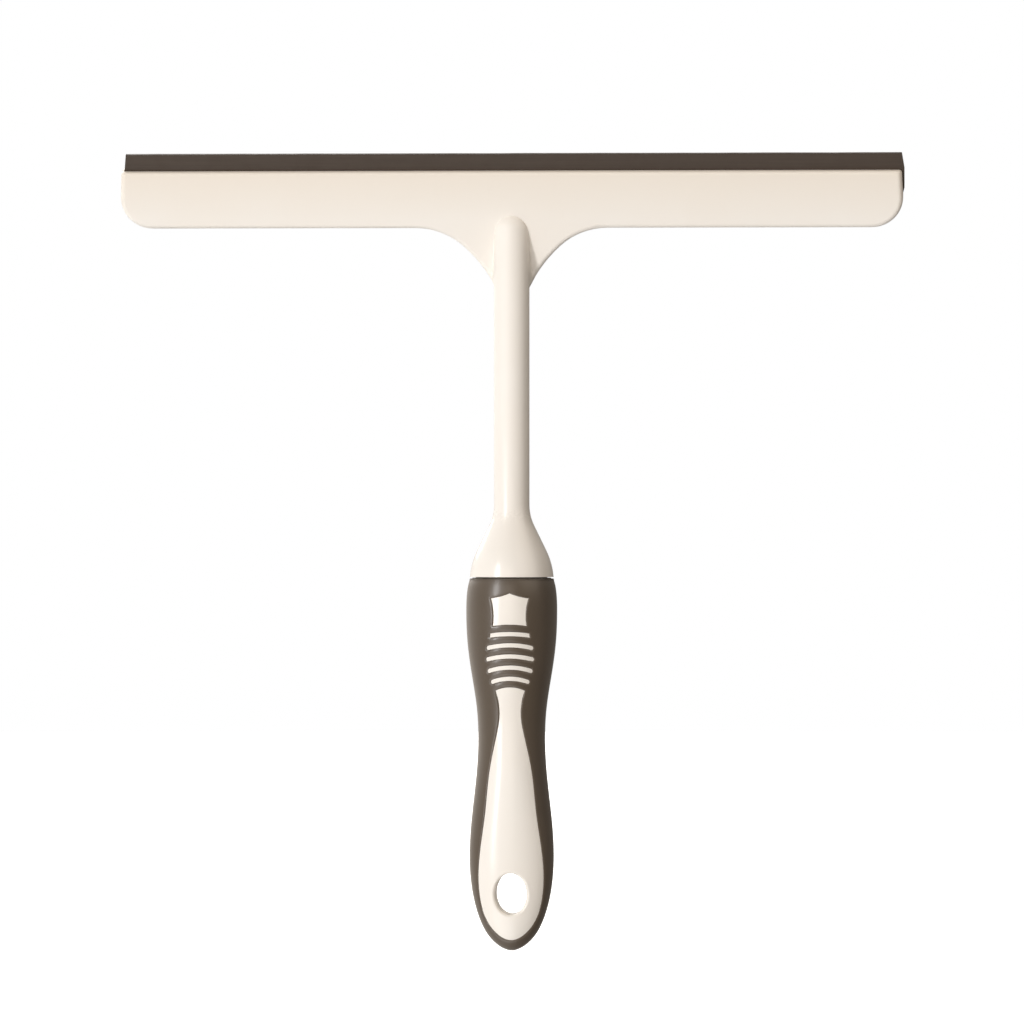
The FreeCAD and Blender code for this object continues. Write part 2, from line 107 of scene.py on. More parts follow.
def noise(tree, size_mm, detail=2.0, stretch=(1.0, 1.0, 1.0)):
    """Noise in Object coordinates with features about size_mm across, drawn out along an axis by stretch."""
    place = add_node(tree, "ShaderNodeTexCoord").outputs["Object"]
    scaled = add_node(tree, "ShaderNodeMapping", {"Scale": [1 / s for s in stretch]}, {"Vector": place})
    return add_node(tree, "ShaderNodeTexNoise", {"Scale": 1 / (size_mm * MM), "Detail": detail},
                    {"Vector": scaled.outputs["Vector"]}).outputs["Fac"]


def spread(tree, source, low, high):
    """Maps the middle of a noise to a range."""
    return ramp(tree, source, *NOISE_MIDDLE, low, high)


def two_tone(tree, source, first, second):
    """Blends two hex colours by a noise."""
    share = spread(tree, source, 0.0, 1.0)
    mix = add_node(tree, "ShaderNodeMix", links={"Factor": share}, data_type="RGBA")
    colours = [s for s in mix.inputs if s.type == "RGBA"]
    colours[0].default_value = srgb(first)
    colours[1].default_value = srgb(second)
    return next(s for s in mix.outputs if s.type == "RGBA")


def raised(tree, height, height_mm, strength):
    """Bump from a 0 to 1 height that stands height_mm tall."""
    settings = {"Strength": strength, "Distance": height_mm * MM}
    return add_node(tree, "ShaderNodeBump", settings, {"Height": height}).outputs["Normal"]


def finish_surface(tree, inputs, links):
    """Closes a material with one Principled shader."""
    shader = add_node(tree, "ShaderNodeBsdfPrincipled", inputs, links)
    add_node(tree, "ShaderNodeOutputMaterial", links={"Surface": shader.outputs["BSDF"]})


def along_z(tree):
    """Height up the squeegee, in metres."""
    place = add_node(tree, "ShaderNodeTexCoord").outputs["Object"]
    return add_node(tree, "ShaderNodeSeparateXYZ", links={"Vector": place}).outputs["Z"]


def blend(tree, share, first, second):
    """A colour that goes from a first socket to a second colour as the share rises."""
    mix = add_node(tree, "ShaderNodeMix", data_type="RGBA")
    tree.links.new(share, mix.inputs["Factor"])
    colours = [s for s in mix.inputs if s.type == "RGBA"]
    tree.links.new(first, colours[0])
    colours[1].default_value = second
    return next(s for s in mix.outputs if s.type == "RGBA")


def ivory_abs():
    """ABS, injection moulded in a polished tool: ivory with a satin gloss and a very faint ripple. Toward
    the head it's more matt, and toward the mouth its colour darkens with painted shade from the blade."""
    material, tree = new_material("ivory_abs_moulded")
    height = along_z(tree)
    unshaded = two_tone(tree, noise(tree, 30), "#f5f0e9", "#f4eee6")
    # painted shade: the colour darkens toward the blade's mouth and stands in for the blade's shade on the
    # face
    painted_shade = ramp(tree, height, PAINTED_SHADE_Z[0] * MM, PAINTED_SHADE_Z[1] * MM, 0.0, 1.0)
    colour = blend(tree, painted_shade, unshaded, srgb("#efe6da"))
    matt = ramp(tree, height, MATT_Z[0] * MM, MATT_Z[1] * MM, 0.0, MATT_GAIN)
    rough = calc(tree, "ADD", spread(tree, noise(tree, 1.2, 3.0), 0.21, 0.26), matt)
    ripple = raised(tree, noise(tree, 3.5), 0.02, 0.25)
    finish_surface(tree, {"IOR": 1.53}, {"Base Color": colour, "Roughness": rough, "Normal": ripple})
    return material


def soft_grip_tpe():
    """TPE, moulded over the core in a lightly blasted tool: brown-grey, satin, with a fine grain.
    The grain is drawn about three times coarser than the tool's grit so that it shows."""
    material, tree = new_material("taupe_tpe_overmoulded")
    colour = two_tone(tree, noise(tree, 14), "#5a4f43", "#574c40")
    grain = raised(tree, noise(tree, 0.45, 3.0), 0.02, 0.35)
    rough = spread(tree, noise(tree, 0.9, 3.0), 0.36, 0.42)
    skin = {"IOR": 1.5, "Coat Weight": 0.32, "Coat Roughness": 0.24, "Coat IOR": 1.5,
            "Sheen Weight": 0.25, "Sheen Roughness": 0.45, "Sheen Tint": srgb("#efe6dc")}
    finish_surface(tree, skin, {"Base Color": colour, "Roughness": rough, "Normal": grain})
    return material


def blade_rubber():
    """Natural rubber, extruded: dark brown and matte, with faint draw lines along the strip."""
    material, tree = new_material("brown_rubber_extruded")
    lines = noise(tree, 0.5, 2.0, stretch=(60.0, 1.0, 1.0))
    colour = two_tone(tree, lines, "#3f3227", "#3a2d22")
    grooves = raised(tree, lines, 0.03, 0.5)
    bloom = spread(tree, noise(tree, 6.0), 0.5, 0.62)
    finish_surface(tree, {"IOR": 1.52}, {"Base Color": colour, "Roughness": bloom, "Normal": grooves})
    return material


def zinc_steel():
    """Zinc plated steel screws, barrel plated: pale metal with a fine tumbled grain."""
    material, tree = new_material("zinc_plated_steel")
    grain = noise(tree, 0.35, 3.0)
    rough = spread(tree, grain, 0.28, 0.4)
    pits = raised(tree, grain, 0.01, 0.3)
    metal = {"Base Color": srgb("#c3c3bf"), "Metallic": 1.0}
    finish_surface(tree, metal, {"Roughness": rough, "Normal": pits})
    return material


FINISH = {
    "cream_plastic": ivory_abs(),
    "soft_grip": soft_grip_tpe(),
    "blade_rubber": blade_rubber(),
    "screw_steel": zinc_steel(),
}
SLOT_OF = {part["node"]: part["material_slot"] for part in frame["record"]["subparts"]}


def dress_cad_nodes():
    """Gives every CAD node the finish of its material slot."""
    for name, node in frame["nodes"].items():
        node.data.materials.clear()
        node.data.materials.append(FINISH[SLOT_OF[name]])


# ---------------------------------------------------------------- meshes

MERGE = 1e-4 * MM      # points nearer than this are one point


def mesh_object(name, vertices, faces, slot):
    """A smooth mesh object from points in millimetres, with its doubles merged and its faces outwards."""
    form = bmesh.new()
    corners = [form.verts.new(Vector(v) * MM) for v in vertices]
    for face in faces:
        form.faces.new([corners[i] for i in face])
    bmesh.ops.remove_doubles(form, verts=form.verts, dist=MERGE)
    bmesh.ops.dissolve_degenerate(form, edges=form.edges, dist=MERGE)
    bmesh.ops.recalc_face_normals(form, faces=form.faces)
    mesh = bpy.data.meshes.new(name)
    form.to_mesh(mesh)
    form.free()
    mesh.materials.append(FINISH[slot])
    mesh.shade_smooth()
    piece = bpy.data.objects.new(name, mesh)
    bpy.context.scene.collection.objects.link(piece)
    return piece


def ride_along(piece, body, slot, *nodes):
    """Rides a finished piece on its body and hides the CAD nodes that it replaces. Its slot is not used."""
    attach(piece, body)
    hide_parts(*nodes)


def arc_through(first, middle, last, step):
    """Points of the arc through three points, from first up to but without last."""
    (ax, ay), (bx, by), (cx, cy) = first, middle, last
    d = 2 * (ax * (by - cy) + bx * (cy - ay) + cx * (ay - by))
    squares = [x * x + y * y for x, y in (first, middle, last)]
    ux = (squares[0] * (by - cy) + squares[1] * (cy - ay) + squares[2] * (ay - by)) / d
    uy = (squares[0] * (cx - bx) + squares[1] * (ax - cx) + squares[2] * (bx - ax)) / d
    angles = [math.atan2(y - uy, x - ux) for x, y in (first, middle, last)]
    turn = math.remainder(angles[1] - angles[0], math.tau) + math.remainder(angles[2] - angles[1], math.tau)
    radius = math.hypot(ax - ux, ay - uy)
    count = max(2, round(abs(turn) * radius / step))
    steps = [angles[0] + turn * i / count for i in range(count)]
    return [(ux + radius * math.cos(a), uy + radius * math.sin(a)) for a in steps]


def spline_through(points, step):
    """Points about a step apart on the natural cubic spline through points of any dimension."""
    knots = np.array(points, float)
    spans = np.linalg.norm(np.diff(knots, axis=0), axis=1)
    at = np.concatenate(([0.0], np.cumsum(spans)))
    count = len(knots)
    system = np.eye(count)
    right = np.zeros_like(knots)
    for i in range(1, count - 1):
        before, after = spans[i - 1], spans[i]
        system[i, i - 1:i + 2] = before, 2 * (before + after), after
        right[i] = 6 * ((knots[i + 1] - knots[i]) / after - (knots[i] - knots[i - 1]) / before)
    bend = np.linalg.solve(system, right)
    wanted = np.linspace(0, at[-1], max(2, round(at[-1] / step)) + 1)
    i = np.clip(np.searchsorted(at, wanted, side="right") - 1, 0, count - 2)
    span = spans[i][:, None]
    low = (at[i + 1] - wanted)[:, None]
    high = (wanted - at[i])[:, None]
    return (bend[i] * low ** 3 + bend[i + 1] * high ** 3) / (6 * span) \
        + (knots[i] / span - bend[i] * span / 6) * low + (knots[i + 1] / span - bend[i + 1] * span / 6) * high


# ---------------------------------------------------------------- soft grip

# Handle stations from top to tip: height, half width, half depth.
HANDLE_STATIONS = (
    (121.3, 16.0, 15.9), (117.5, 16.8, 16.6), (107.0, 17.4, 16.9), (96.0, 16.9, 16.0), (84.0, 15.3, 14.2),
    (71.0, 13.35, 12.6), (58.0, 12.8, 12.1), (44.0, 13.65, 12.1), (29.0, 15.3, 11.6), (12.0, 16.1, 10.7),
    (1.0, 15.1, 9.8), (-8.0, 12.9, 8.5), (-15.0, 9.7, 6.7), (-19.5, 5.7, 4.2), (-21.3, 2.7, 2.2),
)
HANDLE_TIP_Z = -21.9
GRIP_TOP_Z = 121.2
SKIN_TOP_Z = GRIP_TOP_Z - 0.3     # the outside's top row is at or just under this
# Top seal, from the outside inwards: height and inset. Its first rows lie lower than the outside's top
# row, so the skin folds back and crosses itself in a narrow ring at the grip's top rim.
SEAL = (
    (120.35, 0.05), (120.52, 0.18), (120.6, 0.4), (120.62, 0.75), (121.1, 0.8), (121.2, 0.9), (121.2, 2.3),
)
OUTLINE_STEP = 0.45
ROW_STEP = 0.6
PROFILE_STEP = ROW_STEP / 12
# The hidden inner wall: its size against the outside, then how its height follows the outside's.
WALL_SHARE = 0.85
BELLY_Z = 12.0
BELOW_BELLY_SHARE = 0.9      # below the belly it goes this share of the outside's way down
WALL_BEND_Z = 110.0          # from here up it bends down, by WALL_BEND_DROP at WALL_BEND_SPAN higher
WALL_BEND_SPAN = 10.3
WALL_BEND_DROP = 0.5
WALL_UNDER_SEAL = 0.7        # behind the seal it starts this far under the grip's top and rises
WALL_SEAL_RISE = 0.9
FRONT_ANGLE = 64.0     # the windows lie inside this angle either side of the front
FRONT_COLUMNS = 84
REAR_COLUMNS = 60

SHIELD_TOP = (7.3, 113.2)
SHIELD_PEAK = (0.0, 115.1)
SHIELD_SHOULDER = (3.8, 113.85)
SHIELD_WAIST = (6.2, 107.6)
SHIELD_FOOT = (6.5, 102.7)
SHIELD_FOOT_RISE = 0.5
SLIT_HEIGHT = 1.6
SLIT_TOP_Z = 100.4
SLIT_PITCH = 4.27
# Each slit: width, arch and end bulge. An end with no bulge is straight and flares to its foot.
SLITS = ((14.9, 0.6, 0.0), (17.0, 1.1, 0.5), (17.5, 1.2, 0.5), (16.4, 1.4, 0.5), (13.9, 1.3, 0.5))
SLIT_END_FLARE = 0.3
DROP_TOP_Z = 79.2
DROP_SIDE = (
    (5.6, 77.9), (4.1, 70.0), (5.2, 61.4), (8.2, 47.0), (9.9, 31.0), (12.5, 10.5), (11.9, -2.5), (7.5, -13.3),
)
DROP_TIP = (0.0, -18.0)
REAR_WINDOW = (10.4, 12.6)

RIB_DROP = 0.38
LIP_DROP = 0.45        # how far the grip rolls down at a window's edge
LIP_REACH = 0.75
RIB_REACH = 1.32       # at a slit the roll is as wide as half a rib, so that each rib is a pillow
SHOULDER_ROLL = (4.0, 0.25)   # height and depth of the soft round under the grip's top edge
THUMB_DISH = (0.0, 90.3, 9.6, 13.0, 0.3)   # centre x and z, half width, half height, depth
RIB_BLEND = 2.5        # how quickly rolled lips turn into ribs inside the dish
MOULD_LINE_TURN = 1.2  # half width of the mould line in degrees
MOULD_LINE_HEIGHT = 0.06

ON_MIDDLE = 1e-6       # nearer the middle line than this, an outline's point has no mirror image
CLEAR_OF_MIDDLE = 0.1


def mirrored(points):
    """An outline's right side, top to foot, closed by its mirror image."""
    return points + [(-x, z) for x, z in reversed(points) if abs(x) > ON_MIDDLE]


def right_side(points):
    """The points to the right of the middle line and clear of it."""
    return [p for p in points if p[0] > CLEAR_OF_MIDDLE]


def shield_outline():
    right = arc_through(SHIELD_PEAK, SHIELD_SHOULDER, SHIELD_TOP, OUTLINE_STEP)
    right += arc_through(SHIELD_TOP, SHIELD_WAIST, SHIELD_FOOT, OUTLINE_STEP)
    foot_middle = (0.0, SHIELD_FOOT[1] + SHIELD_FOOT_RISE)
    foot = arc_through(SHIELD_FOOT, foot_middle, (-SHIELD_FOOT[0], SHIELD_FOOT[1]), OUTLINE_STEP)
    return mirrored(right + [p for p in foot if p[0] > ON_MIDDLE] + [foot_middle])


def slit_outline(top, width, arch, bulge):
    half = width / 2
    low = top - SLIT_HEIGHT
    foot_half = half if bulge > 0 else half + SLIT_END_FLARE
    crown_end = (half, top - arch)
    right = right_side(arc_through((-half, top - arch), (0, top), crown_end, OUTLINE_STEP))
    if bulge > 0:
        belly = (half + bulge, (top + low) / 2 - arch)
        right += arc_through(crown_end, belly, (half, low - arch), OUTLINE_STEP)
    else:
        thirds = (0.0, 0.33, 0.67)
        right += [(half + SLIT_END_FLARE * t, top - arch - SLIT_HEIGHT * t) for t in thirds]
    foot = arc_through((foot_half, low - arch), (0, low), (-foot_half, low - arch), OUTLINE_STEP)
    right += right_side(foot)
    return mirrored([(0.0, top)] + right + [(0.0, low)])


def drop_outline():
    corner = DROP_SIDE[0]
    side = list(DROP_SIDE) + [DROP_TIP] + [(-x, z) for x, z in reversed(DROP_SIDE)]
    right = [tuple(p) for p in right_side(spline_through(side, OUTLINE_STEP))]
    top = arc_through((-corner[0], corner[1]), (0, DROP_TOP_Z), corner, OUTLINE_STEP)
    return mirrored([(0.0, DROP_TOP_Z)] + right_side(top) + right + [DROP_TIP])


def ring_outline():
    half_width, half_height = REAR_WINDOW
    count = round(math.tau * half_height / OUTLINE_STEP)
    angles = [math.tau * i / count for i in range(count)]
    return [(half_width * math.sin(a), half_height * math.cos(a)) for a in angles]


class GripForm:
    """The grip's outside: elliptical sections, followed from the seal at the top down to the tip."""

    def __init__(self):
        tip = (HANDLE_TIP_Z, 0.0, 0.0)
        beyond = [(z, -a, -b) for z, a, b in reversed(HANDLE_STATIONS)]
        path = spline_through(list(HANDLE_STATIONS) + [tip] + beyond, PROFILE_STEP)
        path = path[:len(path) // 2 + 1]
        path[-1] = tip
        self.z, self.a, self.b = path[::-1].T
        inside = path[(path[:, 0] <= SKIN_TOP_Z) & (path[:, 0] >= self.z.min())]
        run = np.concatenate(([0.0], np.cumsum(np.linalg.norm(np.diff(inside, axis=0), axis=1))))
        self.run, self.run_z = run, inside[:, 0]
        rows = np.linspace(0, run[-1], round(run[-1] / ROW_STEP) + 1)
        self.rows = [(r, float(np.interp(r, run, self.run_z)), 0.0) for r in rows]
        back = [(-(i + 1) * ROW_STEP, z, inset) for i, (z, inset) in enumerate(SEAL)]
        self.rows = back[::-1] + self.rows

    def half_axes(self, z):
        return np.interp(z, self.z, self.a), np.interp(z, self.z, self.b)

    def along(self, z):
        """Distance down the profile at a height."""
        return float(np.interp(-z, -self.run_z, self.run))

    def place(self, turn, down):
        """Point of the outside at an angle from the front and a distance down the profile."""
        z = np.interp(down, [r[0] for r in self.rows], [r[1] for r in self.rows])
        inset = np.interp(down, [r[0] for r in self.rows], [r[2] for r in self.rows])
        a, b = self.half_axes(z)
        return np.stack([(a - inset) * np.sin(turn), -(b - inset) * np.cos(turn), z], axis=-1)

    def inner(self, turn, down):
        """Point of the hidden inner wall behind the same place on the outside."""
        outside = self.place(turn, down)
        z = outside[..., 2]
        near_top = np.clip((z - WALL_BEND_Z) / WALL_BEND_SPAN, 0, 1)
        low = np.where(z < BELLY_Z, BELLY_Z + (z - BELLY_Z) * BELOW_BELLY_SHARE,
                       z - WALL_BEND_DROP * near_top ** 2)
        behind_seal = GRIP_TOP_Z - WALL_UNDER_SEAL - WALL_SEAL_RISE * down / (ROW_STEP * len(SEAL))
        z_in = np.where(down < 0, behind_seal, low)
        a, b = self.half_axes(z)
        return np.stack([a * WALL_SHARE * np.sin(turn), -b * WALL_SHARE * np.cos(turn), z_in], axis=-1)


def nearest(samples, points):
    """Distance from each point to the nearest sample."""
    tree = KDTree(len(samples))
    for i, sample in enumerate(samples):
        tree.insert(sample, i)
    tree.balance()
    return np.array([tree.find(p)[2] for p in points])


def inside_outline(outline, points):
    """True for each (u, v) point inside a closed outline."""
    u, v = points[:, 0:1], points[:, 1:2]
    first = np.array(outline)
    last = np.roll(first, -1, axis=0)
    crosses = (first[:, 1] > v) != (last[:, 1] > v)
    level = np.where(first[:, 1] == last[:, 1], 1.0, last[:, 1] - first[:, 1])
    at = first[:, 0] + (v - first[:, 1]) * (last[:, 0] - first[:, 0]) / level
    return (crosses & (u < at)).sum(axis=1) % 2 == 1


UNROLL_R = 15.0        # radius at which the grip's skin is laid flat
SEAM_ANGLE = -100.0    # where the flat skin's two sides meet
RING_OFFSETS = (0.1, 0.25, 0.45)   # rings of points beside each window's edge
RING_KEPT_SHARE = 0.7  # a ring's point is kept if it's this share of its offset away from every edge
RING_CLEARANCE = 0.2   # gap from the last ring to the rows and columns
EDGE_SAMPLE_SHARE = 0.1
NORMAL_STEP = 0.02     # a normal is measured this far to each side, in radians and millimetres
FLAT_MERGE = 1e-6
SAME = 1e-9
AT_TIP = 1e-6


def unrolled_windows(form):
    """The windows' outlines on the flat skin, as (across, -down) points."""
    front = [shield_outline(), drop_outline()]
    front += [slit_outline(SLIT_TOP_Z - i * SLIT_PITCH, *slit) for i, slit in enumerate(SLITS)]
    flat = []
    for outline in front:
        flat.append([(math.asin(x / form.half_axes(z)[0]) * UNROLL_R, -form.along(z)) for x, z in outline])
    turned = [(math.pi - math.asin(x / form.half_axes(z)[0]), z) for x, z in ring_outline()]
    flat.append([(turn * UNROLL_R, -form.along(z)) for turn, z in turned])
    return flat


def around(outline, offset):
    """Points beside an outline's corners, at an offset outside it."""
    corners = np.array(outline)
    run = np.roll(corners, -1, axis=0) - np.roll(corners, 1, axis=0)
    run /= np.linalg.norm(run, axis=1)[:, None]
    ahead = np.roll(corners, -1, axis=0)
    area = (corners[:, 0] * ahead[:, 1] - ahead[:, 0] * corners[:, 1]).sum()
    side = np.stack([run[:, 1], -run[:, 0]], axis=1) * (1 if area > 0 else -1)
    return corners + side * offset


def skin_columns():
    """Angles of the skin's columns: close in front, wide behind, with three on each mould line."""
    front = np.linspace(-FRONT_ANGLE, FRONT_ANGLE, FRONT_COLUMNS + 1)
    rear = np.linspace(FRONT_ANGLE, 360 - FRONT_ANGLE, REAR_COLUMNS + 1)[1:-1]
    rear = np.where(rear > SEAM_ANGLE + 360, rear - 360, rear)
    lines = [side + step for side in (-90.0, 90.0) for step in (-MOULD_LINE_TURN, 0.0, MOULD_LINE_TURN)]
    rear = [r for r in rear if min(abs(r - line) for line in lines) > MOULD_LINE_TURN]
    rear = [r for r in rear if abs(r - SEAM_ANGLE) > 1]
    return np.radians(sorted([*front, *rear, *lines, SEAM_ANGLE, SEAM_ANGLE + 360]))


def grip_relief(form, turn, down, from_edge):
    """Height of the skin's relief: the thumb dish, ribs, rolled lips, mould lines and soft shoulder."""
    spot = form.place(turn, down)
    x, z = spot[:, 0], spot[:, 2]
    centre_x, centre_z, half_width, half_height, depth = THUMB_DISH
    out = ((x - centre_x) / half_width) ** 2 + ((z - centre_z) / half_height) ** 2
    front = np.cos(turn) > 0
    dish = np.where(front, np.clip(1 - out, 0, 1), 0)
    ribbed = np.clip(RIB_BLEND * dish, 0, 1)
    reach = LIP_REACH + (RIB_REACH - LIP_REACH) * ribbed
    share = np.clip(1 - from_edge / reach, 0, 1)
    roll = LIP_DROP * (1 - np.sqrt(1 - share ** 2)) * (1 - ribbed) + RIB_DROP * share ** 2 * ribbed
    off_line = np.abs(np.abs(np.degrees(np.remainder(turn + math.pi, math.tau)) - 180) - 90)
    line = MOULD_LINE_HEIGHT * np.clip(1 - off_line / MOULD_LINE_TURN, 0, 1) * (down > 0)
    roll_height, roll_depth = SHOULDER_ROLL
    shoulder = roll_depth * np.clip(1 - (GRIP_TOP_Z - z) / roll_height, 0, 1) ** 2
    return line - roll - depth * dish ** 2 - shoulder


def edge_points(form, windows):
    """Points close together along every window's edge, on the grip's outside."""
    samples = []
    for outline in windows:
        closed = np.array(outline + outline[:1])
        for a, b in zip(closed[:-1], closed[1:]):
            for share in np.arange(0, 1, EDGE_SAMPLE_SHARE):
                u, v = a + (b - a) * share
                samples.append(form.place(u / UNROLL_R, -v))
    return samples


def ring_points(form, windows, edges):
    """Flat points on rings round the windows, without those that come too near another edge."""
    rings = np.concatenate([around(outline, offset) for outline in windows for offset in RING_OFFSETS])
    wanted = np.concatenate([np.full(len(outline), offset) for outline in windows for offset in RING_OFFSETS])
    gaps = nearest(edges, form.place(rings[:, 0] / UNROLL_R, -rings[:, 1]))
    return rings[gaps > wanted * RING_KEPT_SHARE]


def grid_points(form, windows, edges, columns):
    """Flat points on the skin's rows and columns, without those in a window or beside its edge."""
    rows = np.array([-r[0] for r in form.rows])
    grid = np.array([(u, v) for v in rows for u in columns])
    border = (np.abs(grid[:, 0] - columns[0]) < SAME) | (np.abs(grid[:, 0] - columns[-1]) < SAME)
    gaps = nearest(edges, form.place(grid[:, 0] / UNROLL_R, -grid[:, 1]))
    grid = grid[border | (gaps > RING_OFFSETS[-1] + RING_CLEARANCE)]
    hidden = np.zeros(len(grid), bool)
    for outline in windows:
        hidden |= inside_outline(outline, grid)
    return grid[~hidden]


def flat_skin(windows, loose):
    """The skin laid flat, as (points, faces): triangles on all the points, with the windows left open."""
    points = []
    bounds = []
    for outline in windows:
        first = len(points)
        points += outline
        count = len(outline)
        bounds += [(first + i, first + (i + 1) % count) for i in range(count)]
    points += [tuple(p) for p in loose]
    flat, _, faces, *_ = delaunay_2d_cdt([Vector(p) for p in points], bounds, [], 0, FLAT_MERGE)
    flat = np.array([tuple(p) for p in flat])
    middles = np.array([flat[list(face)].mean(axis=0) for face in faces])
    open_face = np.zeros(len(faces), bool)
    for outline in windows:
        open_face |= inside_outline(outline, middles)
    return flat, [tuple(face) for face, is_open in zip(faces, open_face) if not is_open]


def outward(form, turn, down):
    """The outside's unit normals at these places."""
    across = form.place(turn + NORMAL_STEP, down) - form.place(turn - NORMAL_STEP, down)
    along = form.place(turn, down + NORMAL_STEP) - form.place(turn, down - NORMAL_STEP)
    normal = np.cross(along, across)
    size = np.linalg.norm(normal, axis=1)[:, None]
    return np.where(size > SAME, normal / np.maximum(size, SAME), 0)


def window_rims(form, flat, faces, columns):
    """Faces that join the skin's free edges to the same edges of the inner wall, but for seam and tip."""
    edges = dict.fromkeys(edge for face in faces for edge in zip(face, face[1:] + face[:1]))
    seam = {round(columns[0], 6), round(columns[-1], 6)}
    down = -flat[:, 1]
    count = len(flat)
    rims = []
    for a, b in edges:
        if (b, a) in edges:
            continue
        on_seam = round(flat[a, 0], 6) in seam and round(flat[a, 0], 6) == round(flat[b, 0], 6)
        at_tip = max(down[a], down[b]) > form.run[-1] - AT_TIP
        if not on_seam and not at_tip:
            rims.append((b, a, a + count, b + count))
    return rims


def make_grip():
    """Overmoulded grip: one closed skin with windows for the core, a hidden inner wall and a top seal."""
    form = GripForm()
    windows = unrolled_windows(form)
    edges = edge_points(form, windows)
    columns = skin_columns() * UNROLL_R
    rings = ring_points(form, windows, edges)
    grid = grid_points(form, windows, edges, columns)
    flat, faces = flat_skin(windows, np.concatenate([rings, grid]))
    turn, down = flat[:, 0] / UNROLL_R, -flat[:, 1]
    outside = form.place(turn, down)
    relief = grip_relief(form, turn, down, nearest(edges, outside))
    outside = outside + outward(form, turn, down) * relief[:, None]
    inner_faces = [tuple(i + len(flat) for i in reversed(face)) for face in faces]
    rims = window_rims(form, flat, faces, columns)
    vertices = np.concatenate([outside, form.inner(turn, down)])
    grip = mesh_object("soft_grip_skin", vertices.tolist(), faces + inner_faces + rims, "soft_grip")
    ride_along(grip, BODY, "soft_grip", "grip_sleeve")


# ---------------------------------------------------------------- head

# The head's pieces are drawn upright, front on y = 0, then leaned about X and put on the neck.
HEAD_LEAN = 18.0
HEAD_FORWARD = 1.8
HEAD_PIVOT_Z = 251.5
HEAD_THICKNESS = 8.4
ON_NECK = Matrix.Translation((0, -HEAD_FORWARD, HEAD_PIVOT_Z))
LEANED = ON_NECK @ Matrix.Rotation(math.radians(HEAD_LEAN), 4, "X")

BLADE_ENDS = (-148.4, 150.5)
BLADE_FOOT = 15.45
BLADE_SHOULDER = 18.85
BLADE_MOUTH = 25.8
BLADE_TIP = 32.1
BLADE_HALF_BEAD = 2.05
BLADE_HALF_WEB = 1.45
BLADE_HALF_TIP = 0.9
BLADE_END_SLANTS = (0.6, 1.0)   # how far the left and right ends lean in at the tip
BLADE_SLANT_CURVE = 1.3
BLADE_FOOT_SLANT = 0.9           # how far both ends lean in at the foot of the bead
BLADE_END_REACH = 0.01
BLADE_SLICES = 160
BLADE_EDGE_ROUND = 0.16
BLADE_WAVE = 0.16                # full height of the wave in the free edge
BLADE_WAVE_LENGTH = 22.0
BLADE_SHARP_ANGLE = 35

COVER_SCREW_X = (-133.0, -80.0, -27.0, 27.0, 80.0, 133.0)
COVER_SCREW_UP = 9.6
NECK_SCREW_Z = (238.5, 247.0)
TONGUE_REAR_Y = 9.0
SCREW_HEAD_R = 2.66
SCREW_SHANK_R = 1.4
SCREW_HEAD_H = 1.5
SCREW_LENGTHS = {"cover": 6.2, "neck": 12.0}
SCREW_SIDES = 40
SCREW_RIM = ((0.22, 0.0), (0.08, -0.04), (0.0, -0.14))   # inset and height of the head's rounded rim
SCREW_SHARP_ANGLE = 30
SCREW_SEED = 4
SHANK_TAPER = 0.1
THREAD_START = 0.4       # plain shank between the head and the thread
THREAD_PITCH = 1.1
THREAD_DEPTH = 0.32
THREAD_STEPS = 5         # rings to one turn
THREAD_SHARPNESS = 5
POINT_LENGTH = 1.6
POINT_BLUNT = 0.6        # height of the last ring over the tip
POINT_SHARE = 0.45       # its radius against the shank's
RECESS_R = 1.5
RECESS_SLOT = 0.42
RECESS_LEVELS = ((1.0, 0.0), (0.92, -0.12), (0.5, -1.0))   # size and height down the cross recess


def new_shape_tree(name, inputs):
    """A Geometry Nodes tree with named inputs, given as (name, socket type, value)."""
    tree = bpy.data.node_groups.new(name, "GeometryNodeTree")
    tree.interface.new_socket("Geometry", in_out="INPUT", socket_type="NodeSocketGeometry")
    for label, kind, value in inputs:
        socket = tree.interface.new_socket(label, in_out="INPUT", socket_type="NodeSocket" + kind)
        if value is not None:
            socket.default_value = value
    tree.interface.new_socket("Geometry", in_out="OUTPUT", socket_type="NodeSocketGeometry")
    return tree, add_node(tree, "NodeGroupInput").outputs


def end_tree(tree, geometry, material):
    """Realizes instances, sets the material and ends the tree."""
    real = add_node(tree, "GeometryNodeRealizeInstances", links={"Geometry": geometry})
    parts = {"Geometry": real.outputs["Geometry"], "Material": material}
    painted = add_node(tree, "GeometryNodeSetMaterial", links=parts)
    add_node(tree, "NodeGroupOutput", links={"Geometry": painted.outputs["Geometry"]})


def grown(name, seed_mesh, tree, values, slot):
    """A plain mesh piece from a tree run on a mesh with these input values."""
    seed = bpy.data.objects.new(name + "_seed", seed_mesh)
    bpy.context.scene.collection.objects.link(seed)
    modifier = seed.modifiers.new("shape", "NODES")
    modifier.node_group = tree
    identifiers = {item.name: item.identifier for item in tree.interface.items_tree if item.in_out == "INPUT"}
    for label, value in values.items():
        modifier[identifiers[label]] = value
    modifier[identifiers["Material"]] = FINISH[slot]
    evaluated = seed.evaluated_get(bpy.context.evaluated_depsgraph_get())
    mesh = bpy.data.meshes.new_from_object(evaluated)
    mesh.name = name
    bpy.data.objects.remove(seed)
    form = bmesh.new()
    form.from_mesh(mesh)
    bmesh.ops.remove_doubles(form, verts=form.verts, dist=MERGE)
    bmesh.ops.recalc_face_normals(form, faces=form.faces)
    form.to_mesh(mesh)
    form.free()
    piece = bpy.data.objects.new(name, mesh)
    bpy.context.scene.collection.objects.link(piece)
    return piece


def line_mesh(name, points, closed):
    """A mesh of edges through points in millimetres, or of loose points when it isn't closed."""
    mesh = bpy.data.meshes.new(name)
    count = len(points)
    edges = [(i, (i + 1) % count) for i in range(count)] if closed else []
    mesh.from_pydata([Vector(p) * MM for p in points], edges, [])
    return mesh


